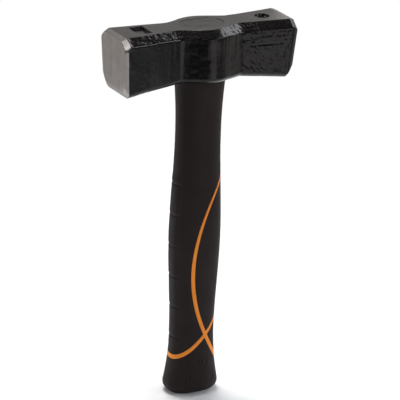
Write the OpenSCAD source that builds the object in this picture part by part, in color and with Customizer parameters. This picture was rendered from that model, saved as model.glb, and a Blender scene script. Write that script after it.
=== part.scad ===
// Short-handled sledgehammer: forged two-face head resin-potted onto a glass-fibre core,
// with a two-colour moulded handle. Head along X, handle up along Z, butt at the origin.

/* [Overall] */
// Height from the butt to the top of the head
total_h = 300; // [270:5:340]

/* [Head] */
// Length between the two striking faces, level with the top of the head
head_l = 150; // [130:1:156]
// Width of the head at the striking faces
head_w = 44; // [40:0.5:48]
// Height of the head at the striking faces
head_h = 46; // [43:0.5:49]
// Width of the waist between a face and the eye boss
waist_w = 35.5; // [34:0.5:38]
// Distance from the eye axis to where the waist starts to widen
waist_x = 26; // [24:1:34]
// Rise of the underside from the faces to the waist
belly_rise = 5.5; // [0:0.5:8]
// How much closer to the middle each side is at the foot of the head
side_draft = 1.5; // [0:0.5:4]
// How much closer to the eye the foot of each striking face is
face_lean = 3; // [0:0.5:6]
// Width of the chamfer along the upper edges
chamfer_w = 7; // [4:0.5:8]
// Height of the chamfer along the upper edges
chamfer_h = 5; // [3:0.5:8]
// Chamfer along the lower edges
low_chamfer = 3; // [1:0.5:5]
// Length of the ground bevel around each striking face
bevel_l = 4.5; // [1:0.5:5]
// How far the bevel draws in the top and sides of each face
bevel_in = 2; // [1:0.5:4]
// How far the bevel draws in the foot of each face
bevel_foot = 5; // [1:0.5:6]
// Diameter of the round boss around the eye
boss_d = 52; // [48:0.5:56]
// Depth of the plain recesses in the top of the head
mark_depth = 2; // [0.5:0.25:3]

/* [Eye] */
// Length of the oval eye at the top of the head
eye_l = 36; // [32:0.5:38]
// Width of the oval eye at the top of the head
eye_w = 23; // [20:0.5:24]
// How much narrower the eye is at the bottom
eye_taper = 3; // [1:0.5:4]

/* [Handle] */
// Half depth of the handle just under the head
top_half = 20.2; // [18.5:0.1:21]
// Half depth of the handle at the neck
neck_half = 18; // [17:0.1:19]
// Half depth of the handle at the belly
belly_half = 20.5; // [19:0.1:22]
// Half depth of the handle at the heel
heel_half = 17.7; // [17:0.1:19]
// Half depth of the handle at the butt
butt_half = 21.9; // [20:0.1:23]
// Handle width as a share of its depth
flatness = 0.72; // [0.7:0.01:0.8]
// Squareness of the handle section, 2 is an ellipse
squareness = 2.4; // [2:0.1:3]
// Rounding of the butt
butt_round = 7; // [4:0.5:8]
// Thickness of the soft skin over the hard jacket
skin_t = 2.6; // [2:0.1:3]

/* [Accent lines] */
// Width of the coloured lines on the grip
line_w = 3; // [2:0.1:4]
// Width of the palm line where it reaches the back of the neck
line_end_w = 1.6; // [1:0.1:3]

/* [Grip steps] */
// Height of the lowest finger step
step_z = 46.5; // [44:0.5:50]
// Spacing of the finger steps
step_pitch = 25.3; // [20:0.1:26]
// Number of finger steps
step_n = 6; // [1:1:6]

/* [Core] */
// Depth of the glass-fibre core
core_l = 26; // [22:0.5:27]
// Width of the glass-fibre core
core_w = 14.5; // [12:0.5:15]

/* [Hidden] */
$fn = 64;

black = [0.13, 0.13, 0.13];
steel = [0.36, 0.35, 0.34];
orange = [0.9, 0.45, 0.1];
resin = [0.25, 0.24, 0.22];
fibre = [0.85, 0.8, 0.55];

// Heights of the head
head_bottom = total_h - head_h;
waist_bottom = head_bottom + belly_rise;
face_half = head_l / 2;

// Recesses in the top of the head: distance from the eye, length and width
mark_x = 52;
mark_l = 11.5;
mark_w = 18;

// The seal sits between the underside of the boss and the top of the handle
seal_t = 1.6;
seal_lip = 3;
seal_l = 37;
seal_w = 26;
handle_top = waist_bottom - seal_t;

// Heights of the core's two ends and of the jacket's closed end
core_top = total_h - 2.5;
core_bottom = 14;
jacket_bottom = 4;

// Heights where the handle is narrowest and widest
neck_z = 214;
belly_z = 130;
heel_z = 52;
butt_z = 8;

// Plug that closes the core's locating hole in the butt
plug_d = 9;
plug_head_d = 12;
plug_head_t = 2;

// Mesh of the handle: points round a section, and the heights of the sections
section_n = 40;
round_z = [for (i = [0 : 4]) butt_round * (1 - cos(18 * i))];
body_z = [for (i = [1 : 25]) butt_round + (handle_top - butt_round) * i / 25];
handle_z = concat(round_z, body_z);

// Side-view curves that the accent lines follow: the palm line is a parabola that
// bulges towards the front, and the ring line climbs from the front to the back.
palm_mid_z = 103;
palm_front_x = -7.2;
palm_curve = 0.0044;
ring_front_x = -18;
ring_front_z = 30.9;
ring_slope = 0.45;
ring_curve = 0.0125;

// Reach of the side-view cuts, well outside the handle
cut_y = 60;
big_x = 40;

function ease(t) = t * t * (3 - 2 * t);

// Half depth of the handle at height z
function half_depth(z) =
    z > neck_z ? neck_half + (top_half - neck_half) * pow((z - neck_z) / (handle_top - neck_z), 2) :
    z > belly_z ? neck_half + (belly_half - neck_half) * ease((neck_z - z) / (neck_z - belly_z)) :
    z > heel_z ? belly_half + (heel_half - belly_half) * ease((belly_z - z) / (belly_z - heel_z)) :
    z > butt_z ? heel_half + (butt_half - heel_half) * pow((heel_z - z) / (heel_z - butt_z), 2) :
    butt_half;

// How far the rounded butt draws in at height z
function butt_inset(z) =
    z >= butt_round ? 0 : butt_round - sqrt(pow(butt_round, 2) - pow(butt_round - z, 2));

// One point of the handle section at height z and angle t, drawn in by inset
function handle_point(z, t, inset) =
    let (a = half_depth(z) - butt_inset(z) - inset)
    let (b = half_depth(z) * flatness - butt_inset(z) - inset)
    let (r = pow(pow(abs(cos(t)) / a, squareness) + pow(abs(sin(t)) / b, squareness), -1 / squareness))
    [r * cos(t), r * sin(t), z];

// Closed solid through the handle sections at the heights zs
module handle_form(zs, inset) {
    rings = len(zs);
    pts = [for (z = zs) for (i = [0 : section_n - 1]) handle_point(z, 360 * i / section_n, inset)];
    sides = [for (k = [0 : rings - 2]) for (i = [0 : section_n - 1])
        let (j = (i + 1) % section_n)
        let (low = k * section_n)
        let (high = low + section_n)
        each [[low + i, high + i, high + j], [low + i, high + j, low + j]]];
    bottom = [for (i = [0 : section_n - 1]) i];
    top = [for (i = [section_n - 1 : -1 : 0]) (rings - 1) * section_n + i];
    polyhedron(pts, concat([bottom, top], sides));
}

module outer_form() {
    handle_form(handle_z, 0);
}

// Hard jacket without its ribs
module jacket_form() {
    inner_z = [for (z = handle_z) if (z > jacket_bottom + 1) z];
    handle_form(concat([jacket_bottom], inner_z), skin_t);
}

function palm_x(z) = palm_front_x + palm_curve * pow(z - palm_mid_z, 2);
function palm_slope(z) = 2 * palm_curve * (z - palm_mid_z);

// Half width of the palm line, narrowing towards the neck
function palm_half(z) =
    z < palm_mid_z ? line_w / 2 :
    line_w / 2 - (line_w - line_end_w) / 2 * min(1, (z - palm_mid_z) / 75);

// Point of the palm line at height z, moved sideways by a signed share of its half width
function palm_edge(z, side) =
    let (n = [1, -palm_slope(z)] / norm([1, -palm_slope(z)]))
    [palm_x(z), z] + side * palm_half(z) * n;

function ring_point(x, side) =
    let (u = x - ring_front_x)
    let (slope = ring_slope + 2 * ring_curve * u)
    let (n = [-slope, 1] / norm([-slope, 1]))
    [x, ring_front_z + ring_slope * u + ring_curve * u * u] + side * line_w / 2 * n;

palm_heights = [for (i = [-19 : 19]) palm_mid_z + 5 * i];
ring_xs = [for (i = [-7 : 7]) 4 * i];

// Side-view shape extruded right through the handle's width
module through() {
    rotate([90, 0, 0])
        linear_extrude(cut_y, center = true)
            children();
}

// Everything behind the palm line, measured from one side of the line
module palm_zone(side) {
    polygon(concat([for (z = palm_heights) palm_edge(z, side)], [[big_x + 20, 220], [big_x + 20, -10]]));
}

// Everything above the ring line, measured from one side of the line
module above_ring(side) {
    polygon(concat([for (x = ring_xs) ring_point(x, side)],
                   [[big_x, total_h], [-big_x, total_h]]));
}

// The two line bands together
module line_bands() {
    difference() {
        palm_zone(-1);
        palm_zone(1);
    }
    difference() {
        above_ring(-1);
        above_ring(1);
    }
}

// Oval with round ends, long side along X
module oval(l, w) {
    translate([-(l - w) / 2, 0])
        circle(d = w);
    translate([(l - w) / 2, 0])
        circle(d = w);
    square([l - w, w], center = true);
}

module oval_bar(l, w, z0, z1) {
    translate([0, 0, z0])
        linear_extrude(z1 - z0)
            oval(l, w);
}

// Tapered oval of the eye between two heights
module eye_form(z0, z1) {
    spread = (eye_l - eye_w) / 2;
    r0 = eye_radius(z0);
    r1 = eye_radius(z1);
    for (x = [-spread, spread])
        translate([x, 0, z0])
            cylinder(r1 = r0, r2 = r1, h = z1 - z0);
    rotate([90, 0, 90])
        linear_extrude(2 * spread, center = true)
            polygon([[-r0, z0], [r0, z0], [r1, z1], [-r1, z1]]);
}

function eye_radius(z) = (eye_w - eye_taper * (total_h - z) / (total_h - waist_bottom)) / 2;

// End view of the head, with its chamfers and the draft of its sides
module head_section(w, z0, side_in, foot_in) {
    h = w / 2 - side_in;
    foot = h - side_draft;
    top = total_h - side_in;
    low = z0 + foot_in;
    polygon([[-foot, low + low_chamfer], [-foot + low_chamfer, low],
             [foot - low_chamfer, low], [foot, low + low_chamfer],
             [h, top - chamfer_h], [h - chamfer_w, top],
             [-h + chamfer_w, top], [-h, top - chamfer_h]]);
}

// Slice across the head where a face or its bevel ends, leaning like the face
module leaning_slab(side, x, side_in, foot_in) {
    slope = face_lean / head_h;
    multmatrix([[1, 0, side * slope, side * (x - slope * total_h)],
                [0, 1, 0, 0],
                [0, 0, 1, 0],
                [0, 0, 0, 1]])
        rotate([90, 0, 90])
            linear_extrude(0.02, center = true)
                head_section(head_w, head_bottom, side_in, foot_in);
}

// Slice across the head where an arm meets the flanks of the boss
module waist_slab(side) {
    translate([side * waist_x, 0, 0])
        rotate([90, 0, 90])
            linear_extrude(0.02, center = true)
                head_section(waist_w, waist_bottom, 0, 0);
}

// One striking arm, from the waist to its ground face
module head_arm(side) {
    hull() {
        waist_slab(side);
        leaning_slab(side, face_half - bevel_l, 0, 0);
        leaning_slab(side, face_half - 0.01, bevel_in, bevel_foot);
    }
}

// Round boss around the eye, chamfered at the top, with straight flanks to both arms
module eye_boss() {
    body_h = total_h - chamfer_h - waist_bottom;
    hull() {
        translate([0, 0, waist_bottom])
            cylinder(d = boss_d, h = body_h);
        translate([0, 0, waist_bottom + body_h])
            cylinder(d1 = boss_d, d2 = boss_d - 2 * chamfer_w, h = chamfer_h);
        waist_slab(-1);
        waist_slab(1);
    }
}

// Plain rectangular and round recesses in the top of the head
module head_marks() {
    translate([-mark_x, 0, total_h])
        cube([mark_l, mark_w, 2 * mark_depth], center = true);
    translate([mark_x, 0, total_h - mark_depth])
        cylinder(d = mark_l, h = 2 * mark_depth);
}

module hammer_head() {
    color(steel)
        difference() {
            union() {
                head_arm(-1);
                head_arm(1);
                eye_boss();
            }
            eye_form(waist_bottom - 1, total_h + 1);
            head_marks();
        }
}

// Cured resin between the core and the wall of the eye
module eye_potting() {
    color(resin)
        difference() {
            eye_form(waist_bottom + seal_lip, total_h);
            oval_bar(core_l, core_w, waist_bottom, core_top);
        }
}

// Rubber ring under the boss, with a lip up into the eye
module eye_seal() {
    color(black)
        difference() {
            union() {
                oval_bar(seal_l, seal_w, handle_top, waist_bottom);
                eye_form(waist_bottom, waist_bottom + seal_lip);
            }
            oval_bar(core_l, core_w, handle_top - 1, waist_bottom + seal_lip + 1);
        }
}

module handle_core() {
    color(fibre)
        oval_bar(core_l, core_w, core_bottom, core_top);
}

// Hard jacket on the core, with ribs that come up through the soft skin as the lines
module handle_jacket() {
    color(orange)
        resize([0, 0, 0])
            difference() {
                union() {
                    jacket_form();
                    intersection() {
                        outer_form();
                        through()
                            line_bands();
                    }
                }
                oval_bar(core_l, core_w, core_bottom, handle_top + 1);
                plug_form();
            }
}

// The soft skin before the lines divide it
module skin_form() {
    difference() {
        outer_form();
        jacket_form();
        plug_form();
        finger_steps();
    }
}

// Shallow notches across the front edge of the grip
module finger_steps() {
    notch_d = 1.6;
    notch_w = 12;
    for (i = [0 : step_n - 1]) {
        z = step_z + i * step_pitch;
        translate([-half_depth(z), 0, z])
            rotate([0, 45, 0])
                cube([notch_d, notch_w, notch_d], center = true);
    }
}

// Main front panel, from the neck down the finger side
module front_grip() {
    color(black)
        resize([0, 0, 0])
            difference() {
                skin_form();
                through()
                    palm_zone(-1);
                through()
                    difference() {
                        square([4 * big_x, 2 * total_h], center = true);
                        above_ring(1);
                    }
            }
}

// Pad in the palm of the hand, behind the palm line
module palm_pad() {
    color(black)
        resize([0, 0, 0])
            intersection() {
                skin_form();
                through()
                    intersection() {
                        palm_zone(1);
                        above_ring(1);
                    }
            }
}

// Small pad between the two lines at the heel of the hand
module heel_pad() {
    color(black)
        resize([0, 0, 0])
            intersection() {
                skin_form();
                through()
                    difference() {
                        palm_zone(1);
                        above_ring(-1);
                    }
            }
}

// Flared butt below both lines
module butt_grip() {
    color(black)
        resize([0, 0, 0])
            difference() {
                skin_form();
                through()
                    palm_zone(-1);
                through()
                    above_ring(-1);
            }
}

// Stepped plug shape, from the butt up to the end of the core
module plug_form() {
    cylinder(d = plug_head_d, h = plug_head_t);
    cylinder(d = plug_d, h = core_bottom);
}

module butt_plug() {
    color(black)
        plug_form();
}

hammer_head();
eye_potting();
eye_seal();
handle_core();
handle_jacket();
front_grip();
palm_pad();
heel_pad();
butt_grip();
butt_plug();
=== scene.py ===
"""Looks of the short-handled sledgehammer, built around its CAD frame. Lengths are in mm before the stage."""

import math

import bmesh
import bpy
import numpy as np
from mathutils import Matrix, Vector


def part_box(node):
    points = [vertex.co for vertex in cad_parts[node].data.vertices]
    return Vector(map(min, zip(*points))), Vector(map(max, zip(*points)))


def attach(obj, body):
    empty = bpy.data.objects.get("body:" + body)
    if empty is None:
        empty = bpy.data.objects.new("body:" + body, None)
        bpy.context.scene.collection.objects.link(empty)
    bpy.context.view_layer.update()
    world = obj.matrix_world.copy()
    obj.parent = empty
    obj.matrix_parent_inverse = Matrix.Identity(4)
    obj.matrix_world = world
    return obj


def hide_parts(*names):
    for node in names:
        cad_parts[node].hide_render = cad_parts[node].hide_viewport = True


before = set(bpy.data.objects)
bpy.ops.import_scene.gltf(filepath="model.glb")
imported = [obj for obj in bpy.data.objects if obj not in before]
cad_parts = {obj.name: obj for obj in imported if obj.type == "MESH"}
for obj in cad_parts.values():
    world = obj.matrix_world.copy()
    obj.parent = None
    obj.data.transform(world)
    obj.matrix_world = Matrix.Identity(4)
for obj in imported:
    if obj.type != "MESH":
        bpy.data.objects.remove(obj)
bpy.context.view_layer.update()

MM = 0.001
BODY = "root"

# ---------------------------------------------------------------- sizes, from the frame where it gives them
head_low, head_high = (np.array(corner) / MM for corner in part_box("hammer_head"))
jacket_high = np.array(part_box("handle_jacket")[1]) / MM
TOP_Z = head_high[2]
BOSS_R = head_high[1]
FACE_BOTTOM = head_low[2]
HANDLE_TOP = jacket_high[2]

# head; a pair of values is for the bare-faced end (-X) and the other end (+X), and near is the -Y side
FACE_X = 75.0
FACE_HALF_W = 22.4
FACE_CROWN = 0.3
WAIST_HALF_W, WAIST_X = 17.75, 26.0
BELLY_RISE = (5.5, 4.4)
END_DROP = (0.5, -0.4)
BELLY_BLEND_X = 12.0
SIDE_DRAFT, DRAFT_RUN = 1.5, 30.0
END_SHIFT = (0.4, -1.4)
END_LEAN = (0.05, 0.085)
FLANK_ANGLES = (30.0, 21.0)
FLANK_FILLETS = (4.0, 1.0)
CHAMFER_W, CHAMFER_H, CHAMFER_UNEVEN = 7.1, 5.1, 0.25
LOW_CHAMFER, FAR_LOW_CHAMFER = 3.0, 5.0

# bevels of the faces; on the bare face they are shorter along the head below the chamfers
BEVEL_L, SHORT_BEVEL_L = 4.4, 2.5
BEVEL_X = FACE_X - BEVEL_L
SHORTEN_DEPTH, SHORTEN_FROM_X = 4.0, 40.0
BEVEL_RUN_IN = 4.0
BEVEL_START_ROUND, BEVEL_END_ROUND = (0.35, 15.0), 2.2
BEVEL_RIM_SHARE = 2.6
# what a full share of the bevel adds to each measure of the end-view outline
BEVEL_IN, FAR_BEVEL_IN = (2.9, 2.1), 2.1
BEVEL_TOP = (2.3, 1.8)
BEVEL_FOOT = (3.8, 4.2)
BEVEL_CHAMFER_W, FAR_BEVEL_CHAMFER_W = (-1.0, 1.0), -2.2
BEVEL_CHAMFER_H, FAR_BEVEL_CHAMFER_H = (1.7, 1.0), -0.6
BEVEL_LOW_CHAMFER, FAR_BEVEL_LOW_CHAMFER = (1.5, 3.0), 2.0
BEVEL_ROUND, FAR_BEVEL_ROUND = (2.5, 0.0), 3.0

# radii of the corners of the end-view outline; the near chamfer's lower edge is rounder on the bare-faced arm
TOP_EDGE_R, SIDE_EDGE_R = 0.7, 1.0
WORN_EDGE_R, WORN_EDGE_X = 1.3, (-20.0, -26.0)
LOW_EDGE_R, FAR_LOW_EDGE_R = 3.0, 8.0

# eye and recesses in the top
EYE_L, EYE_W = 36.0, 23.0
EYE_RIM_SINK, EYE_WALL = 0.08, 4.0
RESIN_SINK, RESIN_T = 0.14, 6.0
MARK_X = 52.0
MARK_L, MARK_W, MARK_ROUND = 11.5, 18.0, 1.0
MARK_DEPTH = 2.0
MARK_WALL = (0.35, -0.55)

# how finely the head is divided: points on each side and corner of the outline, and ring spacing
OUTLINE_SIDES = [12, 60, 8, 56, 8, 60, 12, 56]
CORNER_POINTS = 4
HEAD_RING_STEP = 0.55
FACE_RINGS = 26

# forged skin, as layers of noise: (height, cell size, seed)
WAVES = [(0.15, 13, 1), (0.05, 6, 2), (0.03, 2.2, 3), (0.02, 1.2, 4)]
DENT_CELL, DENT_DEPTH, DENT_SEED = (2.8, 2.2, 2.2), 0.26, 6
DENT_GRAIN = [(0.1, 1.3, 7)]
STREAKS = [(1.0, (1.5, 6, 24), 8)]
RIDGES = [(0.45, (30, 40, 1.7), 9)]
MOTTLE = [(0.14, 3.6, 10), (0.1, 1.7, 11)]
SCRATCHES = [(0.16, 1.0, 13)]
BOSS_SKIN = [(0.12, (5, 5, 3.4), 14), (0.05, 1.7, 15)]
GROUND_STEEL = [(0.015, 6, 12)]

# handle: half depth along X at the heights where it is narrowest and widest
TOP_HALF = 20.2
NECK_HALF, NECK_Z = 18.0, 214.0
BELLY_HALF, BELLY_Z = 20.5, 130.0
HEEL_HALF, HEEL_Z = 17.7, 52.0
BUTT_HALF, BUTT_Z = 21.9, 8.0
FLATNESS = 0.72
SQUARENESS = 2.4
BUTT_ROUND = 7.0
LIP_ROUND, LIP_DEPTH = 0.8, 0.5
SKIN_T, PANEL_T, PANEL_EDGE_R = 2.6, 1.9, 0.55
HANDLE_RING_STEP, HANDLE_TURNS = 0.62, 188

# accent lines, as curves in side view
PALM_MID_Z, PALM_FRONT_X, PALM_CURVE = 103.0, -7.2, 0.0044
LINE_W, LINE_END_W, LINE_TAPER = 3.0, 1.6, 75.0
LINE_RISE, LINE_ROUND, LINE_EDGE_R = 0.05, 0.2, 0.5
LINE_CUTS = (0.0, 0.14, 0.32, 0.6, -0.35)
RING_FRONT_X, RING_FRONT_Z = -18.0, 30.9
RING_SLOPE, RING_CURVE = 0.45, 0.0125
RING_TAPER_X, RING_TAPER = 6.0, 12.0

# finger steps across a raised strip on the front edge; a pair says where a shape begins and where it is full
STEP_Z, STEP_PITCH, STEP_N, STEP_SWEEP = 46.5, 25.3, 6, 0.12
STRIP_RISE, STRIP_SIDE = 0.2, (6.6, 5.4)
STRIP_FOOT, STRIP_HEAD = (38.0, 42.0), (182.0, 176.0)
NOTCH_DEPTH, NOTCH_HALF_W, NOTCH_SIDE = 0.6, 0.75, (8.2, 6.2)
SWELL_RISE, SWELL_START, SWELL_END = 0.15, 3.0, 16.0

# grooves moulded near the butt
DIAL_X, DIAL_Z, DIAL_R = 2.9, 25.8, 4.2
POINTER_UP, POINTER_HALF_L = 0.6, 1.6
OVAL_Z, OVAL_L, OVAL_W = 14.0, 22.0, 7.5
GROOVE_W, GROOVE_DEPTH, GROOVE_SHOULDER = 0.9, 0.4, (0.4, -0.1)

# a distance that counts as nowhere near
FAR_OFF = 50.0


# ---------------------------------------------------------------- numeric helpers
def ease(t):
    t = np.clip(t, 0.0, 1.0)
    return t * t * (3 - 2 * t)


def fade(value, start, end):
    """0 on the far side of start, 1 from end on, and eased between them."""
    return ease((value - start) / (end - start))


def blend_max(a, b, reach):
    """The larger of a and b, rounded where they meet."""
    h = np.clip(0.5 + 0.5 * (a - b) / reach, 0, 1)
    return b + (a - b) * h + reach * h * (1 - h)


def lattice(ix, iy, iz, seed):
    """A repeatable value from -1 to 1 for each lattice point, from mixed and shifted bits."""
    h = (ix * 73856093) ^ (iy * 19349663) ^ (iz * 83492791) ^ (seed * 40503)
    h &= 0xFFFFFFFF
    h = ((h ^ (h >> 13)) * 1274126177) & 0xFFFFFFFF
    h ^= h >> 16
    return h / 2147483647.5 - 1.0


def noise(points, size, seed=0):
    """Smooth noise from -1 to 1 at (..., 3) points, with cells of the given size."""
    p = np.asarray(points, float) / np.asarray(size, float) + 0.37 * seed
    cell = np.floor(p).astype(np.int64)
    u = ease(p - cell)
    x, y, z = (cell[..., k] for k in range(3))
    total = 0.0
    for dx in (0, 1):
        for dy in (0, 1):
            for dz in (0, 1):
                weight = (
                    (u[..., 0] if dx else 1 - u[..., 0])
                    * (u[..., 1] if dy else 1 - u[..., 1])
                    * (u[..., 2] if dz else 1 - u[..., 2])
                )
                total = total + weight * lattice(x + dx, y + dy, z + dz, seed)
    return total


def layered(points, layers):
    """Sum of noise layers, each (height, cell size, seed)."""
    return sum(height * noise(points, size, seed) for height, size, seed in layers)


def rounded_path(corners, radii, per_side, per_corner, closed=True):
    """Points along straight sides with rounded corners: the same number of points whatever the sizes."""
    corners = np.asarray(corners, float)
    count = len(corners)
    longest_share = 0.45
    ends = []
    for i, corner in enumerate(corners):
        before, after = corners[i - 1], corners[(i + 1) % count]
        to_before, to_after = before - corner, after - corner
        len_before, len_after = np.linalg.norm(to_before), np.linalg.norm(to_after)
        cosine = to_before @ to_after / (len_before * len_after)
        half_angle = math.acos(max(-1.0, min(1.0, cosine))) / 2
        reach = min(radii[i] / math.tan(half_angle), longest_share * len_before, longest_share * len_after)
        ends.append((corner + to_before / len_before * reach, corner + to_after / len_after * reach))
    points = []
    for i, corner in enumerate(corners):
        start, end = ends[i]
        if not closed and i in (0, count - 1):
            points.append(corner)
            leave = corner
        else:
            for u in np.linspace(0, 1, per_corner):
                points.append((1 - u) ** 2 * start + 2 * u * (1 - u) * corner + u * u * end)
            leave = end
        if not closed and i == count - 1:
            break
        arrive = ends[(i + 1) % count][0]
        if not closed and i + 1 == count - 1:
            arrive = corners[-1]
        for u in np.linspace(0, 1, per_side[i] + 2)[1:-1]:
            points.append(leave + (arrive - leave) * u)
    return np.array(points)


# ---------------------------------------------------------------- mesh helpers
def tube_mesh(rings):
    """A bmesh through closed rings, an (m, n, 3) array in mm, with both ends capped."""
    m, n = rings.shape[:2]
    j = np.arange(n)
    faces = []
    for i in range(m - 1):
        low, high = i * n, (i + 1) * n
        faces += np.stack([low + j, low + (j + 1) % n, high + (j + 1) % n, high + j], 1).tolist()
    faces.append(list(range(n - 1, -1, -1)))
    faces.append([(m - 1) * n + k for k in range(n)])
    mesh = bpy.data.meshes.new("work")
    mesh.from_pydata(rings.reshape(-1, 3).tolist(), [], faces)
    bm = bmesh.new()
    bm.from_mesh(mesh)
    bpy.data.meshes.remove(mesh)
    bmesh.ops.recalc_face_normals(bm, faces=bm.faces)
    return bm


def ring_normals(rings):
    """Outward unit normals of a closed-ring grid whose middle is inside."""
    around = np.roll(rings, -1, 1) - np.roll(rings, 1, 1)
    along = np.gradient(rings, axis=0)
    normal = np.cross(around, along)
    normal /= np.maximum(np.linalg.norm(normal, axis=-1, keepdims=True), 1e-12)
    outward = rings - rings.mean(1, keepdims=True)
    sign = np.sign(np.sum(normal * outward, -1).sum())
    return normal * sign


def points_of(bm):
    return np.array([v.co for v in bm.verts], float).reshape(-1, 3)


def move_to(bm, points):
    for v, p in zip(bm.verts, points.tolist()):
        v.co = p


def cut(bm, field, level=0.0):
    """Splits the faces of bm along the line where field equals level."""
    bm.verts.index_update()
    value = field(points_of(bm)) - level
    value[np.abs(value) < 1e-5] = 1e-5
    crossing = [e for e in bm.edges if value[e.verts[0].index] * value[e.verts[1].index] < 0]
    touched, on_line = set(), set()
    for e in crossing:
        a, b = e.verts
        share = value[a.index] / (value[a.index] - value[b.index])
        touched.update(e.link_faces)
        on_line.add(bmesh.utils.edge_split(e, a, share)[1])
    for f in touched:
        marks = [v for v in f.verts if v in on_line]
        if len(marks) == 2:
            bmesh.utils.face_split(f, marks[0], marks[1])
        elif len(marks) == 4:
            other = bmesh.utils.face_split(f, marks[0], marks[1])[0]
            for half in (f, other):
                rest = [v for v in half.verts if v in (marks[2], marks[3])]
                if len(rest) == 2:
                    bmesh.utils.face_split(half, rest[0], rest[1])


def centres_of(bm):
    return np.array([f.calc_center_median() for f in bm.faces], float).reshape(-1, 3)


def remove_faces(bm, unwanted):
    """Deletes the faces whose centre unwanted accepts."""
    gone = [f for f, bad in zip(bm.faces, unwanted(centres_of(bm))) if bad]
    bmesh.ops.delete(bm, geom=gone, context="FACES")


def only(bm, keep):
    """A copy of bm with just the faces whose centre keep accepts."""
    part = bm.copy()
    remove_faces(part, lambda p: ~keep(p))
    return part


def push(bm, amount):
    """Moves each vertex along its normal; amount maps (n, 3) points to n distances."""
    bm.normal_update()
    points = points_of(bm)
    normals = np.array([v.normal for v in bm.verts], float).reshape(-1, 3)
    move_to(bm, points + normals * amount(points)[:, None])


def piece(name, bm, material, sharp_degrees=38.0):
    """Turns a bmesh in mm into a scene object that rides on the hammer."""
    bmesh.ops.scale(bm, vec=(MM, MM, MM), verts=bm.verts)
    bm.normal_update()
    limit = math.radians(sharp_degrees)
    for f in bm.faces:
        f.smooth = True
    for e in bm.edges:
        e.smooth = not (e.is_manifold and e.calc_face_angle(0.0) > limit)
    mesh = bpy.data.meshes.new(name)
    bm.to_mesh(mesh)
    bm.free()
    mesh.materials.append(material)
    obj = bpy.data.objects.new(name, mesh)
    bpy.context.scene.collection.objects.link(obj)
    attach(obj, BODY)
    return obj


def thicken(bm, depth):
    """Closes an open patch into a shell of that depth, inwards."""
    bm.normal_update()
    outer, rim = bm.verts[:], [e for e in bm.edges if e.is_boundary]
    inner = bmesh.ops.duplicate(bm, geom=outer + bm.edges[:] + bm.faces[:])
    twin = inner["vert_map"]
    for v in outer:
        twin[v].co = v.co - v.normal * depth
    bmesh.ops.reverse_faces(bm, faces=[g for g in inner["geom"] if isinstance(g, bmesh.types.BMFace)])
    for e in rim:
        a, b = e.verts
        bm.faces.new((a, b, twin[b], twin[a]))
    bmesh.ops.recalc_face_normals(bm, faces=bm.faces)


# ---------------------------------------------------------------- materials
def add(tree, kind, inputs=None, **settings):
    """Adds a shader node; each input is a value or another node's output."""
    made = tree.nodes.new(kind)
    for key, value in settings.items():
        setattr(made, key, value)
    for key, value in (inputs or {}).items():
        if isinstance(value, bpy.types.NodeSocket):
            tree.links.new(value, made.inputs[key])
        else:
            made.inputs[key].default_value = value
    return made


def start_material(name):
    """A material with its Principled node and coordinates in mm."""
    material = bpy.data.materials.new(name)
    material.use_nodes = True
    tree = material.node_tree
    shader = tree.nodes["Principled BSDF"]
    coord = add(tree, "ShaderNodeTexCoord")
    in_mm = add(tree, "ShaderNodeMapping", {"Vector": coord.outputs["Object"], "Scale": (1000, 1000, 1000)})
    return material, tree, shader, in_mm.outputs[0]


def stretched(tree, position, scale):
    return add(tree, "ShaderNodeMapping", {"Vector": position, "Scale": scale}).outputs[0]


def cloud(tree, position, per_mm, detail=3.0, rough=0.55):
    """Noise from 0 to 1 with about per_mm features in each mm."""
    inputs = {"Vector": position, "Scale": per_mm, "Detail": detail, "Roughness": rough}
    return add(tree, "ShaderNodeTexNoise", inputs).outputs[0]


def remap(tree, value, low, high, to_low, to_high):
    inputs = {"Value": value, "From Min": low, "From Max": high, "To Min": to_low, "To Max": to_high}
    return add(tree, "ShaderNodeMapRange", inputs).outputs[0]


def math_node(tree, operation, a, b):
    return add(tree, "ShaderNodeMath", {0: a, 1: b}, operation=operation).outputs[0]


def weighted(tree, a, b, share_of_a):
    """share_of_a of a and the rest of b."""
    part_a = math_node(tree, "MULTIPLY", a, share_of_a)
    return math_node(tree, "ADD", part_a, math_node(tree, "MULTIPLY", b, 1 - share_of_a))


def ramp(tree, value, low, dark, high, light):
    """Colours from dark where value is low to light where it is high."""
    made = add(tree, "ShaderNodeValToRGB", {"Fac": value})
    for element, place, colour in zip(made.color_ramp.elements, (low, high), (dark, light)):
        element.position = place
        element.color = (*colour, 1.0)
    return made.outputs[0]


def bump(tree, height, strength, depth_mm, normal=None):
    inputs = {"Height": height, "Strength": strength, "Distance": depth_mm * MM}
    if normal is not None:
        inputs["Normal"] = normal
    return add(tree, "ShaderNodeBump", inputs).outputs[0]


def dress(tree, shader, colour, roughness, relief, specular=None):
    """Connects the looks of a surface to its shader."""
    for key, output in (("Base Color", colour), ("Roughness", roughness), ("Normal", relief)):
        tree.links.new(output, shader.inputs[key])
    if specular is not None:
        shader.inputs["Specular IOR Level"].default_value = specular


def dress_lacquer(tree, shader, at):
    """Black lacquer, which softens the pits of the forged skin."""
    blotch = cloud(tree, at, 0.09)
    skin = cloud(tree, at, 0.8, 5.0, 0.62)
    speck = cloud(tree, at, 3.5, 2.0)
    colour = ramp(tree, blotch, 0.3, (0.003, 0.0025, 0.0025), 0.7, (0.007, 0.006, 0.006))
    relief = bump(tree, speck, 0.12, 0.06, bump(tree, skin, 0.22, 0.25))
    dress(tree, shader, colour, remap(tree, skin, 0.3, 0.7, 0.14, 0.28), relief, 0.3)


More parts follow.
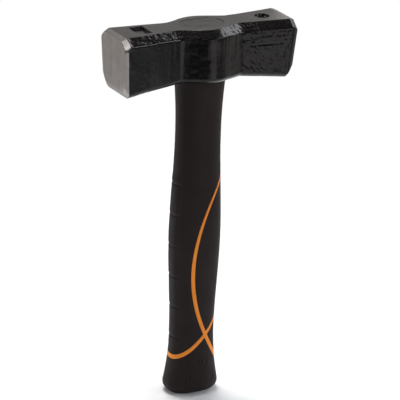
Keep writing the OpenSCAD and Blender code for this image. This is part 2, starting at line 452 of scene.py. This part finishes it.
def dress_steel(tree, shader, at):
    """Bare steel, ground in fine lines up and down the face and a little worn."""
    brushed = cloud(tree, stretched(tree, at, (0.02, 0.55, 0.025)), 1.0, 4.0, 0.6)
    worn = cloud(tree, at, 0.14)
    grain = cloud(tree, at, 2.2, 2.0)
    tone = weighted(tree, brushed, worn, 0.55)
    colour = ramp(tree, tone, 0.3, (0.31, 0.296, 0.284), 0.7, (0.45, 0.431, 0.418))
    relief = bump(tree, grain, 0.15, 0.05, bump(tree, brushed, 0.25, 0.06))
    dress(tree, shader, colour, remap(tree, tone, 0.3, 0.7, 0.38, 0.27), relief)


def bare_steel_share(tree, at):
    """1 where the steel is bare: the whole bevel and face at -X, and only the face at +X."""
    split = add(tree, "ShaderNodeSeparateXYZ", {"Vector": at})
    below_top = math_node(tree, "SUBTRACT", TOP_Z, split.outputs[2])
    ragged = math_node(tree, "MULTIPLY", cloud(tree, at, 0.45, 4.0), 0.5)
    lap = remap(tree, below_top, CHAMFER_H + 0.5, CHAMFER_H + 3.5, 0.0, BEVEL_L - SHORT_BEVEL_L)
    overlap, soft_edge = (0.2, -0.25), 0.2
    ends = []
    for end, edge_x, outwards in ((0, BEVEL_X, "SUBTRACT"), (1, FACE_X, "ADD")):
        leaned = math_node(tree, "ADD", math_node(tree, "MULTIPLY", below_top, END_LEAN[end]), ragged)
        reach = math_node(tree, outwards, leaned, split.outputs[0])
        if end == 0:
            reach = math_node(tree, "SUBTRACT", reach, lap)
        start = edge_x + overlap[end] + END_SHIFT[end]
        ends.append(remap(tree, reach, start, start + soft_edge, 0.0, 1.0))
    return math_node(tree, "MAXIMUM", ends[0], ends[1])


def head_material():
    """Black lacquer over the forged skin, and bare ground steel on the faces and the -X bevel."""
    material, tree, lacquer, at = start_material("forged_head")
    steel = add(tree, "ShaderNodeBsdfPrincipled", {"Metallic": 1.0, "Specular Tint": (0.45, 0.44, 0.43, 1.0)})
    dress_lacquer(tree, lacquer, at)
    dress_steel(tree, steel, at)
    both = add(tree, "ShaderNodeMixShader", {"Fac": bare_steel_share(tree, at)})
    tree.links.new(lacquer.outputs[0], both.inputs[1])
    tree.links.new(steel.outputs[0], both.inputs[2])
    tree.links.new(both.outputs[0], tree.nodes["Material Output"].inputs["Surface"])
    return material


def moulded_material(name, dark, light, roughness, grain_per_mm, grain_depth, specular):
    """Moulded plastic or soft plastic: cloudy tone, and a fine grain in the surface."""
    material, tree, shader, at = start_material(name)
    broad = cloud(tree, at, 0.05)
    fine = cloud(tree, at, grain_per_mm, 2.0, 0.6)
    smear = cloud(tree, stretched(tree, at, (0.25, 0.25, 0.06)), 1.0)
    colour = ramp(tree, weighted(tree, broad, fine, 0.6), 0.35, dark, 0.65, light)
    relief = bump(tree, fine, 0.4, grain_depth)
    dress(tree, shader, colour, remap(tree, smear, 0.3, 0.7, *roughness), relief, specular)
    return material


def resin_material():
    """Dark cured resin in the eye, lacquered over: mottled, with a few trapped bubbles."""
    material, tree, shader, at = start_material("eye_resin")
    mottle = cloud(tree, at, 0.35, 5.0, 0.65)
    bubbles = add(tree, "ShaderNodeTexVoronoi", {"Vector": at, "Scale": 0.7}).outputs[0]
    pits = remap(tree, bubbles, 0.1, 0.2, 0.0, 1.0)
    colour = ramp(tree, mottle, 0.35, (0.004, 0.0036, 0.0034), 0.65, (0.009, 0.008, 0.0078))
    relief = bump(tree, pits, 0.4, 0.15, bump(tree, mottle, 0.3, 0.25))
    dress(tree, shader, colour, remap(tree, mottle, 0.3, 0.7, 0.2, 0.4), relief, 0.3)
    return material


def fibre_material():
    """Resin-bonded glass fibre: straw colour, with fine strands along the core."""
    material, tree, shader, at = start_material("glass_fibre")
    strands = cloud(tree, stretched(tree, at, (4.0, 4.0, 0.05)), 1.0)
    colour = ramp(tree, strands, 0.3, (0.42, 0.36, 0.19), 0.7, (0.72, 0.66, 0.42))
    roughness = remap(tree, strands, 0.3, 0.7, 0.55, 0.4)
    dress(tree, shader, colour, roughness, bump(tree, strands, 0.4, 0.08))
    return material


MATERIALS = {
    "head": head_material(),
    "resin": resin_material(),
    "fibre": fibre_material(),
    "skin": moulded_material(
        "soft_skin", (0.015, 0.0107, 0.0099), (0.0214, 0.0154, 0.0143), (0.5, 0.62), 2.6, 0.06, 0.14
    ),
    "orange": moulded_material(
        "orange_jacket", (0.84, 0.245, 0.022), (0.97, 0.31, 0.032), (0.42, 0.55), 1.6, 0.03, 0.25
    ),
    "seal": moulded_material(
        "seal_rubber", (0.006, 0.006, 0.006), (0.012, 0.012, 0.012), (0.6, 0.75), 2.0, 0.05, 0.3
    ),
    "plug": moulded_material(
        "plug_plastic", (0.012, 0.012, 0.012), (0.02, 0.02, 0.02), (0.45, 0.6), 1.5, 0.04, 0.4
    ),
}


# ---------------------------------------------------------------- head
def head_half_width(x, draft=0.0):
    """Half width in plan: arms that widen towards the faces, and a round boss with straight flanks."""
    reach = np.abs(x)
    out = np.clip((reach - WAIST_X) / (BEVEL_X - WAIST_X), 0, 1)
    arm = WAIST_HALF_W + (FACE_HALF_W - WAIST_HALF_W) * out
    arm = arm - draft * fade(reach, WAIST_X, WAIST_X + DRAFT_RUN)
    angle = np.radians(np.where(x < 0, *FLANK_ANGLES))
    tangent = BOSS_R * np.sin(angle)
    flank = BOSS_R * np.cos(angle) - np.tan(angle) * (reach - tangent)
    boss = np.where(reach < tangent, np.sqrt(np.maximum(BOSS_R**2 - x**2, 0.0)), flank)
    return blend_max(arm, boss, np.where(x < 0, *FLANK_FILLETS))


def head_bottom(x):
    """Height of the underside: raised at the waist and straight out to the feet of the faces."""
    out = np.clip((np.abs(x) - WAIST_X) / (BEVEL_X - WAIST_X), 0, 1)
    right = fade(x, -BELLY_BLEND_X, BELLY_BLEND_X)
    rise = BELLY_RISE[0] + (BELLY_RISE[1] - BELLY_RISE[0]) * right
    drop = END_DROP[0] + (END_DROP[1] - END_DROP[0]) * right
    return FACE_BOTTOM - drop + rise * (1 - out)


def head_outline(x, share=0.0):
    """End-view outline at x, far side first; share says how much of the face bevel has been drawn in."""
    end = int(x > 0)
    apart = 50.0  # so far apart that the four values have nothing to do with each other
    places = np.array([[x, 0.0, k * apart] for k in range(4)])
    uneven = CHAMFER_UNEVEN * noise(places, (9.0, 9.0, 9.0), 5)
    wide, wide_foot = float(head_half_width(x)), float(head_half_width(x, SIDE_DRAFT))
    half, foot = wide - BEVEL_IN[end] * share, wide_foot - BEVEL_IN[end] * share
    far_half, far_foot = wide - FAR_BEVEL_IN * share, wide_foot - FAR_BEVEL_IN * share
    top = TOP_Z - BEVEL_TOP[end] * share
    low = float(head_bottom(x)) + BEVEL_FOOT[end] * share
    chamfer_w = CHAMFER_W + BEVEL_CHAMFER_W[end] * share + uneven[0]
    chamfer_h = CHAMFER_H + BEVEL_CHAMFER_H[end] * share + uneven[2]
    far_chamfer_w = CHAMFER_W + FAR_BEVEL_CHAMFER_W * share + uneven[1]
    far_chamfer_h = CHAMFER_H + FAR_BEVEL_CHAMFER_H * share + uneven[3]
    low_chamfer = LOW_CHAMFER + BEVEL_LOW_CHAMFER[end] * share
    far_low_chamfer = FAR_LOW_CHAMFER + FAR_BEVEL_LOW_CHAMFER * share
    rounder, far_rounder = BEVEL_ROUND[end] * share, FAR_BEVEL_ROUND * share
    worn = WORN_EDGE_R * float(fade(x, *WORN_EDGE_X))
    corners_and_radii = [
        ((far_half - far_chamfer_w, top), TOP_EDGE_R + far_rounder),
        ((far_half, top - far_chamfer_h), SIDE_EDGE_R + far_rounder),
        ((far_foot, low + far_low_chamfer), FAR_LOW_EDGE_R),
        ((far_foot - far_low_chamfer, low), FAR_LOW_EDGE_R),
        ((-foot + low_chamfer, low), LOW_EDGE_R),
        ((-foot, low + low_chamfer), LOW_EDGE_R),
        ((-half, top - chamfer_h), SIDE_EDGE_R + worn + rounder),
        ((-half + chamfer_w, top), TOP_EDGE_R + rounder),
    ]
    corners, radii = zip(*corners_and_radii)
    return rounded_path(corners, radii, OUTLINE_SIDES, CORNER_POINTS)


def bevel_profile(start_round):
    """Section through a face bevel, as (share of the bevel, x): body, bevel and rim of the crowned face."""
    return rounded_path(
        [
            (0.0, BEVEL_X - BEVEL_RUN_IN),
            (0.0, BEVEL_X),
            (1.0, FACE_X - FACE_CROWN),
            (BEVEL_RIM_SHARE, crowned_face(1.0)),
        ],
        [0, start_round, BEVEL_END_ROUND, 0],
        [6, 7, 4],
        8,
        closed=False,
    )


def crowned_face(s):
    """Distance of the face from the middle of the head, at s of the way from its centre to its rim."""
    return FACE_X - 0.7 * FACE_CROWN * s**2


def head_rings():
    """Rings from one face, over its bevel, along the body and back to the other face."""
    body = np.arange(-BEVEL_X + BEVEL_RUN_IN, BEVEL_X - BEVEL_RUN_IN, HEAD_RING_STEP)[1:]
    rings = []

    def ring(outline, place):
        rings.append(np.column_stack([np.full(len(outline), place), outline]))

    for side, start_round in zip((-1, 1), BEVEL_START_ROUND):
        steps = [("bevel", share, x) for share, x in bevel_profile(start_round)]
        steps += [("face", s, crowned_face(s)) for s in np.linspace(0.97, 0.06, FACE_RINGS)]
        rim = head_outline(side * BEVEL_X, BEVEL_RIM_SHARE)
        middle = rim.mean(0)
        for zone, s, x in steps[::side]:
            if zone == "face":
                ring(middle + (rim - middle) * s, side * x)
            else:
                ring(head_outline(side * min(x, BEVEL_X), s), side * x)
        if side < 0:
            for x in body:
                ring(head_outline(x), x)
    return np.array(rings)


def shorten_bevel(points):
    """Makes the bevel of the bare face shorter along the head below the chamfers."""
    x, z = points[..., 0], points[..., 2]
    below = fade(TOP_Z - z, CHAMFER_H, CHAMFER_H + SHORTEN_DEPTH)
    gain = (BEVEL_L - SHORT_BEVEL_L) * below * (x < 0)
    share = np.where(-x < BEVEL_X, fade(-x, SHORTEN_FROM_X, BEVEL_X), np.clip((FACE_X + x) / BEVEL_L, 0, 1))
    moved = points.copy()
    moved[..., 0] -= gain * share
    return moved


def lean(points):
    """Sets the length of each end, and leans it in towards the foot of the head."""
    x, z = points[..., 0], points[..., 2]
    share = np.clip((np.abs(x) - WAIST_X) / (BEVEL_X - WAIST_X), 0, 1)
    shift = np.where(x < 0, *(END_SHIFT[end] - END_LEAN[end] * (TOP_Z - z) for end in (0, 1)))
    leaned = points.copy()
    leaned[..., 0] += np.sign(x) * share * shift
    return leaned


def forge(rings):
    """Forged skin: soft waves, hammer dents on the chamfers, grinding streaks and drawn-out ridges."""
    normals = ring_normals(rings)
    x, y, z = rings[..., 0], rings[..., 1], rings[..., 2]
    up, across = np.abs(normals[..., 2]), np.abs(normals[..., 1])
    chamfer_foot = TOP_Z - CHAMFER_H - 0.5

    # where each kind of skin lies
    body = fade(np.abs(x), BEVEL_X - 0.3, BEVEL_X - 1.8)
    top = fade(normals[..., 2], 0.97, 0.99)
    side = fade(across, 0.8, 0.9)
    chamfer = fade(z, chamfer_foot, chamfer_foot + 0.8) * fade(up, 0.3, 0.5) * fade(up, 0.97, 0.93)
    right_arm = fade(x, 22, 28)
    boss = fade(np.abs(x), 24, 19)
    beaten = 0.2 + (fade(x, -21, -27) + fade(x, 4, 10)) * fade(x, 50, 38)
    streaked = 0.03 + 0.07 * fade(x, -46, -26) * fade(z, 272, 282)
    band = fade(z, chamfer_foot - 14.5, chamfer_foot - 10.5) * fade(z, chamfer_foot, chamfer_foot - 1)

    dents = layered(rings, DENT_GRAIN) - DENT_DEPTH * np.abs(noise(rings, DENT_CELL, DENT_SEED))
    slanted = np.stack([(x + z) / 1.5, y / 4, (x - z) / 5], -1)
    drawn = band * layered(rings, RIDGES) + layered(rings, MOTTLE) + layered(slanted, SCRATCHES)
    amount = layered(rings, WAVES) * (1 - 0.6 * top) + chamfer * beaten * dents
    amount = amount + side * (1 - right_arm) * streaked * layered(rings, STREAKS)
    amount = amount + side * right_arm * drawn + side * boss * layered(rings, BOSS_SKIN)
    return rings + normals * (amount * body + layered(rings, GROUND_STEEL) * (1 - body))[..., None]


def oval_distance(points, length, width):
    """Distance outside an oval with round ends round the eye's axis, in plan."""
    along = np.maximum(np.abs(points[:, 0]) - (length - width) / 2, 0)
    return np.hypot(along, points[:, 1]) - width / 2


def eye_distance(points):
    return oval_distance(points, EYE_L, EYE_W)


def mark_distance(points):
    """Distance outside the two recesses in the top of the head, in plan; far below the top it is large."""
    box_x = np.abs(points[:, 0] + MARK_X) - (MARK_L / 2 - MARK_ROUND)
    box_y = np.abs(points[:, 1]) - (MARK_W / 2 - MARK_ROUND)
    corner = np.hypot(np.maximum(box_x, 0), np.maximum(box_y, 0))
    square = corner + np.minimum(np.maximum(box_x, box_y), 0) - MARK_ROUND
    disc = np.hypot(points[:, 0] - MARK_X, points[:, 1]) - MARK_L / 2
    below = np.where(points[:, 2] < TOP_Z - MARK_DEPTH - 0.5, FAR_OFF, 0.0)
    return np.minimum(square, disc) + below


def build_head():
    bm = tube_mesh(lean(shorten_bevel(forge(head_rings()))))
    for level in (MARK_WALL[0], 0.0, -0.3, MARK_WALL[1]):
        cut(bm, mark_distance, level)
    points = points_of(bm)
    points[:, 2] -= MARK_DEPTH * fade(mark_distance(points), *MARK_WALL)
    move_to(bm, points)

    for level in (0.0, 0.4):
        cut(bm, eye_distance, level)
    remove_faces(bm, lambda p: eye_distance(p) < 0)
    middle_z = (TOP_Z + FACE_BOTTOM) / 2
    rim = [e for e in bm.edges if e.is_boundary]
    upper = [e for e in rim if e.verts[0].co.z > middle_z]
    lower = [e for e in rim if e.verts[0].co.z <= middle_z]
    for edges, inwards in ((upper, -1), (lower, 1)):
        for v in {v for e in edges for v in e.verts}:
            v.co.z += EYE_RIM_SINK * inwards
        made = bmesh.ops.extrude_edge_only(bm, edges=edges)
        for v in (g for g in made["geom"] if isinstance(g, bmesh.types.BMVert)):
            v.co.z += EYE_WALL * inwards
    obj = piece("hammer_head", bm, MATERIALS["head"])
    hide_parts("hammer_head")


def build_resin():
    """Top of the cured resin: an oval cake with a slightly sunken, uneven surface."""
    half_l, half_w = (EYE_L - EYE_W) / 2, EYE_W / 2 - 0.02
    angles = np.linspace(0, 2 * math.pi, 160, endpoint=False)
    along = np.cos(angles) * half_w + half_l * np.sign(np.cos(angles))
    outline = np.column_stack([along, np.sin(angles) * half_w])
    rings = []
    for depth in (RESIN_T, 0.9, 0.2):
        rings.append(np.column_stack([outline, np.full(len(outline), TOP_Z - depth)]))
    for s in np.linspace(0.97, 0.05, FACE_RINGS):
        p = np.column_stack([outline * s, np.full(len(outline), TOP_Z - RESIN_SINK)])
        p[:, 2] += layered(p, [(0.08, 5, 21), (0.04, 1.8, 22)])
        rings.append(p)
    obj = piece("eye_potting", tube_mesh(np.array(rings)), MATERIALS["resin"])
    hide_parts("eye_potting")


# ---------------------------------------------------------------- handle
def half_depth(z):
    """Half depth of the handle along X at height z."""
    top = NECK_HALF + (TOP_HALF - NECK_HALF) * np.clip((z - NECK_Z) / (HANDLE_TOP - NECK_Z), 0, 1) ** 2
    neck = NECK_HALF + (BELLY_HALF - NECK_HALF) * fade(z, NECK_Z, BELLY_Z)
    belly = BELLY_HALF + (HEEL_HALF - BELLY_HALF) * fade(z, BELLY_Z, HEEL_Z)
    butt = HEEL_HALF + (BUTT_HALF - HEEL_HALF) * np.clip((HEEL_Z - z) / (HEEL_Z - BUTT_Z), 0, 1) ** 2
    return np.where(z > NECK_Z, top, np.where(z > BELLY_Z, neck, np.where(z > HEEL_Z, belly, butt)))


def handle_rings(heights, turns, inset=0.0):
    z = heights[:, None]
    angle = np.linspace(0, 2 * math.pi, turns, endpoint=False)[None, :]
    rounding = BUTT_ROUND - np.sqrt(np.maximum(BUTT_ROUND**2 - np.clip(BUTT_ROUND - z, 0, None) ** 2, 0))
    a = half_depth(z) - rounding - inset
    b = half_depth(z) * FLATNESS - rounding - inset
    total = np.abs(np.cos(angle) / a) ** SQUARENESS + np.abs(np.sin(angle) / b) ** SQUARENESS
    reach = total ** (-1 / SQUARENESS)
    return np.stack([reach * np.cos(angle), reach * np.sin(angle), z + 0 * angle], -1)


def palm_distance(p):
    """Signed distance behind the palm line, in side view."""
    rise = p[:, 2] - PALM_MID_Z
    return (p[:, 0] - PALM_FRONT_X - PALM_CURVE * rise**2) / np.sqrt(1 + (2 * PALM_CURVE * rise) ** 2)


def ring_distance(p):
    """Signed distance above the ring line, in side view."""
    u = p[:, 0] - RING_FRONT_X
    curve = RING_FRONT_Z + RING_SLOPE * u + RING_CURVE * u**2
    return (p[:, 2] - curve) / np.sqrt(1 + (RING_SLOPE + 2 * RING_CURVE * u) ** 2)


def line_half(along):
    """Half width of a line that narrows while along goes from 0 to 1."""
    return LINE_W / 2 - (LINE_W - LINE_END_W) / 2 * np.clip(along, 0, 1)


def off_palm(p):
    return np.abs(palm_distance(p)) - line_half((p[:, 2] - PALM_MID_Z) / LINE_TAPER)


def off_ring(p):
    return np.abs(ring_distance(p)) - line_half((p[:, 0] - RING_TAPER_X) / RING_TAPER)


def off_lines(p):
    return np.minimum(off_palm(p), off_ring(p))


def engraving_distance(p):
    """Distance outside the grooves near the butt, on the near side: a dial, its pointer and an oval."""
    x, z = p[:, 0] - DIAL_X, p[:, 2] - DIAL_Z
    dial = np.abs(np.hypot(x, z) - DIAL_R)
    pointer = np.hypot(x, np.maximum(np.abs(z - POINTER_UP) - POINTER_HALF_L, 0))
    oval_x = np.maximum(np.abs(x) - (OVAL_L - OVAL_W) / 2, 0)
    oval = np.abs(np.hypot(oval_x, p[:, 2] - OVAL_Z) - OVAL_W / 2)
    nearest = np.minimum(np.minimum(dial, pointer), oval)
    return nearest - GROOVE_W / 2 + np.where(p[:, 1] > 0, FAR_OFF, 0.0)


def finger_side(rings):
    """Raised strip down the front edge, crossed by the finger steps."""
    x, y, z = rings[..., 0], rings[..., 1], rings[..., 2]
    front = fade(x, 0, -4)
    strip = front * fade(np.abs(y), *STRIP_SIDE) * fade(z, *STRIP_FOOT) * fade(z, *STRIP_HEAD)
    across = front * fade(np.abs(y), *NOTCH_SIDE)
    amount = STRIP_RISE * strip
    for i in range(STEP_N):
        step = STEP_Z + STEP_PITCH * i + STEP_SWEEP * np.abs(y)
        notch = np.exp(-(((z - step) / NOTCH_HALF_W) ** 2)) * across
        following = step + STEP_PITCH
        swell = fade(z, step, step + SWELL_START) * fade(z, following, following - SWELL_END) * strip
        amount = amount - NOTCH_DEPTH * notch + SWELL_RISE * swell
    return amount


def outer_surface():
    """The handle's whole outside, with its finger side and the rounded lip at the top."""
    low = BUTT_ROUND * (1 - np.cos(np.linspace(0, math.pi / 2, 14)[:-1]))
    fine = np.arange(BUTT_ROUND, HANDLE_TOP - LIP_ROUND, HANDLE_RING_STEP)
    high = HANDLE_TOP - np.array([LIP_ROUND, 0.45, 0.2, 0.05])
    heights = np.concatenate([low, fine, high])
    rings = handle_rings(heights, HANDLE_TURNS)
    normals = ring_normals(rings)
    into_lip = ((LIP_ROUND - (HANDLE_TOP - heights)) / LIP_ROUND).clip(0, 1)
    lip = LIP_DEPTH * (1 - np.sqrt(np.clip(1 - into_lip**2, 0, 1)))
    amount = finger_side(rings) - lip[:, None] + layered(rings, [(0.03, 9, 31)])
    return tube_mesh(rings + normals * amount[..., None])


def round_off(distance, radius):
    """How far an edge of that radius falls away at a distance from it."""
    inside = np.clip(radius - distance, 0, radius)
    return radius - np.sqrt(radius**2 - inside**2)


def build_panel(bm, name, behind_palm, above_ring):
    """One soft panel: the part of the outside on the given sides of the two lines."""
    part = only(
        bm,
        lambda p: (off_lines(p) > 0)
        & (palm_distance(p) * behind_palm > 0)
        & (ring_distance(p) * above_ring > 0),
    )
    if name == "front_grip":
        remove_faces(part, lambda p: p[:, 2] > HANDLE_TOP - 0.06)
    if name == "butt_grip":
        for level in (0.0, GROOVE_SHOULDER[0]):
            cut(part, engraving_distance, level)
        push(part, lambda p: -GROOVE_DEPTH * fade(engraving_distance(p), *GROOVE_SHOULDER))
    push(part, lambda p: -round_off(np.maximum(off_lines(p), 0), PANEL_EDGE_R))
    thicken(part, PANEL_T)
    obj = piece(name, part, MATERIALS["skin"])
    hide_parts(name)


def build_jacket(bm):
    """The hard jacket: a tube under the skin, with ribs that come up as the accent lines."""
    lines = only(bm, lambda p: off_lines(p) <= 0)
    push(lines, lambda p: LINE_RISE - LINE_ROUND * round_off(np.maximum(-off_lines(p), 0), LINE_EDGE_R))
    thicken(lines, SKIN_T)
    heights = np.concatenate([[4.0, 4.6], np.linspace(6, HANDLE_TOP - 0.1, 110)])
    inner = tube_mesh(handle_rings(heights, 120, SKIN_T))
    mesh = bpy.data.meshes.new("work")
    inner.to_mesh(mesh)
    inner.free()
    lines.from_mesh(mesh)
    bpy.data.meshes.remove(mesh)
    obj = piece("handle_jacket", lines, MATERIALS["orange"])
    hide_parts("handle_jacket")


def build_handle():
    bm = outer_surface()
    for level in LINE_CUTS:
        cut(bm, off_palm, level)
        cut(bm, off_ring, level)
    build_panel(bm, "front_grip", -1, 1)
    build_panel(bm, "palm_pad", 1, 1)
    build_panel(bm, "heel_pad", 1, -1)
    build_panel(bm, "butt_grip", -1, -1)
    build_jacket(bm)


def dress_frame():
    """Materials for the CAD pieces that stay as they are."""
    for node, name in (("handle_core", "fibre"), ("eye_seal", "seal"), ("butt_plug", "plug")):
        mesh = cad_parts[node].data
        mesh.materials.clear()
        mesh.materials.append(MATERIALS[name])


build_head()
build_resin()
build_handle()
dress_frame()


# ---------------------------------------------------------------- stage, in metres and degrees
FLOOR_R, FLOOR_Z = 0.6, -0.0002
CAMERA_AZIMUTH, CAMERA_ELEVATION, CAMERA_ROLL = -28.5, 20.0, 2.0
CAMERA_DISTANCE = 2.5
CAMERA_LENS, CAMERA_SENSOR = 291.0, 36.0
CAMERA_TARGET = Vector((0.0038, 0.0, 0.1566))
WARM, COOL, NEUTRAL = (1.0, 0.955, 0.93), (0.95, 0.95, 1.0), (1.0, 0.98, 0.985)
# soft spots in the room: azimuth from -Y towards +X, elevation, inner and outer radius, strength, colour
SOFT_SPOTS = [
    (19, -20, 4, 18, 1.4, WARM),
    (-68, -20, 6, 16, 0.66, WARM),
    (104, 39, 8, 17, 5.0, COOL),
    (45, 28, 4, 12, 10.0, COOL),
    (-10, 30, 4, 10, 5.0, WARM),
    (-100, 38, 8, 20, 2.4, NEUTRAL),
]
# the room's own light: bright low down and behind the hammer, dim overhead and in front
FRONT_TILT = 0.25
OVERHEAD_FADE, OVERHEAD_LEVEL = (0.33, 0.55), 0.12
FRONT_FADE, BEHIND_LEVEL, FRONT_LEVEL = (-0.3, 0.4), 0.66, 0.06


def build_floor():
    material, tree, shader, at = start_material("pale_floor")
    colour = ramp(tree, cloud(tree, at, 0.01), 0.3, (0.83, 0.865, 0.885), 0.7, (0.86, 0.895, 0.915))
    tree.links.new(colour, shader.inputs["Base Color"])
    shader.inputs["Roughness"].default_value = 0.9
    shader.inputs["Specular IOR Level"].default_value = 0.1
    bm = bmesh.new()
    bmesh.ops.create_circle(bm, cap_ends=True, segments=128, radius=FLOOR_R)
    mesh = bpy.data.meshes.new("floor")
    bm.to_mesh(mesh)
    bm.free()
    mesh.materials.append(material)
    floor = bpy.data.objects.new("floor", mesh)
    floor.location = (0, 0, FLOOR_Z)
    bpy.context.scene.collection.objects.link(floor)


def direction(azimuth, elevation):
    a, e = math.radians(azimuth), math.radians(elevation)
    return Vector((math.sin(a) * math.cos(e), -math.cos(a) * math.cos(e), math.sin(e)))


def area_light(name, azimuth, elevation, distance, width, height, power, target=CAMERA_TARGET):
    """A softbox that looks at the target from that direction."""
    out = direction(azimuth, elevation)
    data = bpy.data.lights.new(name, "AREA")
    data.shape = "RECTANGLE"
    data.size, data.size_y = width, height
    data.energy = power
    data.color = WARM
    light = bpy.data.objects.new(name, data)
    light.location = target + out * distance
    light.rotation_euler = out.to_track_quat("Z", "Y").to_euler()
    bpy.context.scene.collection.objects.link(light)


def towards(tree, coord, way):
    """Cosine of the angle between each direction of the world and way."""
    inputs = {0: coord.outputs["Generated"], 1: way}
    return add(tree, "ShaderNodeVectorMath", inputs, operation="DOT_PRODUCT").outputs["Value"]


def build_world():
    """White to the camera, and for the light on the hammer a dim room with a few soft spots."""
    world = bpy.data.worlds.new("studio")
    world.use_nodes = True
    tree = world.node_tree
    tree.nodes.clear()
    coord = add(tree, "ShaderNodeTexCoord")
    split = add(tree, "ShaderNodeSeparateXYZ", {"Vector": coord.outputs["Generated"]})
    height = remap(tree, split.outputs[2], *OVERHEAD_FADE, 1.0, OVERHEAD_LEVEL)
    front = direction(CAMERA_AZIMUTH, 0)
    front.z = FRONT_TILT
    behind = remap(tree, towards(tree, coord, front.normalized()), *FRONT_FADE, BEHIND_LEVEL, FRONT_LEVEL)
    room = math_node(tree, "MULTIPLY", height, behind)
    lit = add(tree, "ShaderNodeBackground", {"Color": (*WARM, 1), "Strength": room})
    for azimuth, elevation, inner, outer, strength, colour in SOFT_SPOTS:
        aim = towards(tree, coord, direction(azimuth, elevation))
        rim, core = math.cos(math.radians(outer)), math.cos(math.radians(inner))
        glow = remap(tree, aim, rim, core, 0.0, strength)
        spot = add(tree, "ShaderNodeBackground", {"Color": (*colour, 1), "Strength": glow})
        lit = add(tree, "ShaderNodeAddShader", {0: lit.outputs[0], 1: spot.outputs[0]})
    seen = add(tree, "ShaderNodeBackground", {"Color": (1, 1, 1, 1), "Strength": 1.0})
    path = add(tree, "ShaderNodeLightPath")
    both = add(tree, "ShaderNodeMixShader", {"Fac": path.outputs["Is Camera Ray"]})
    tree.links.new(lit.outputs[0], both.inputs[1])
    tree.links.new(seen.outputs[0], both.inputs[2])
    out = add(tree, "ShaderNodeOutputWorld")
    tree.links.new(both.outputs[0], out.inputs["Surface"])
    bpy.context.scene.world = world


def build_camera():
    back = direction(CAMERA_AZIMUTH, CAMERA_ELEVATION)
    right = direction(CAMERA_AZIMUTH + 90, 0)
    up = back.cross(right)
    roll = math.radians(CAMERA_ROLL)
    tilted_right = math.cos(roll) * right + math.sin(roll) * up
    tilted_up = math.cos(roll) * up - math.sin(roll) * right
    data = bpy.data.cameras.new("camera")
    data.lens = CAMERA_LENS
    data.sensor_width = CAMERA_SENSOR
    camera = bpy.data.objects.new("camera", data)
    turn = Matrix((tilted_right, tilted_up, back)).transposed()
    camera.matrix_world = Matrix.Translation(CAMERA_TARGET + back * CAMERA_DISTANCE) @ turn.to_4x4()
    bpy.context.scene.collection.objects.link(camera)
    bpy.context.scene.camera = camera


build_floor()
build_world()
area_light("key_top", azimuth=175, elevation=68, distance=2.0, width=0.9, height=0.9, power=42)
area_light(
    "end_box",
    azimuth=151,
    elevation=20,
    distance=0.25,
    width=0.08,
    height=0.1,
    power=0.022,
    target=Vector((0.115, 0, 0.3)),
)
build_camera()
bpy.context.scene.view_settings.view_transform = "Standard"
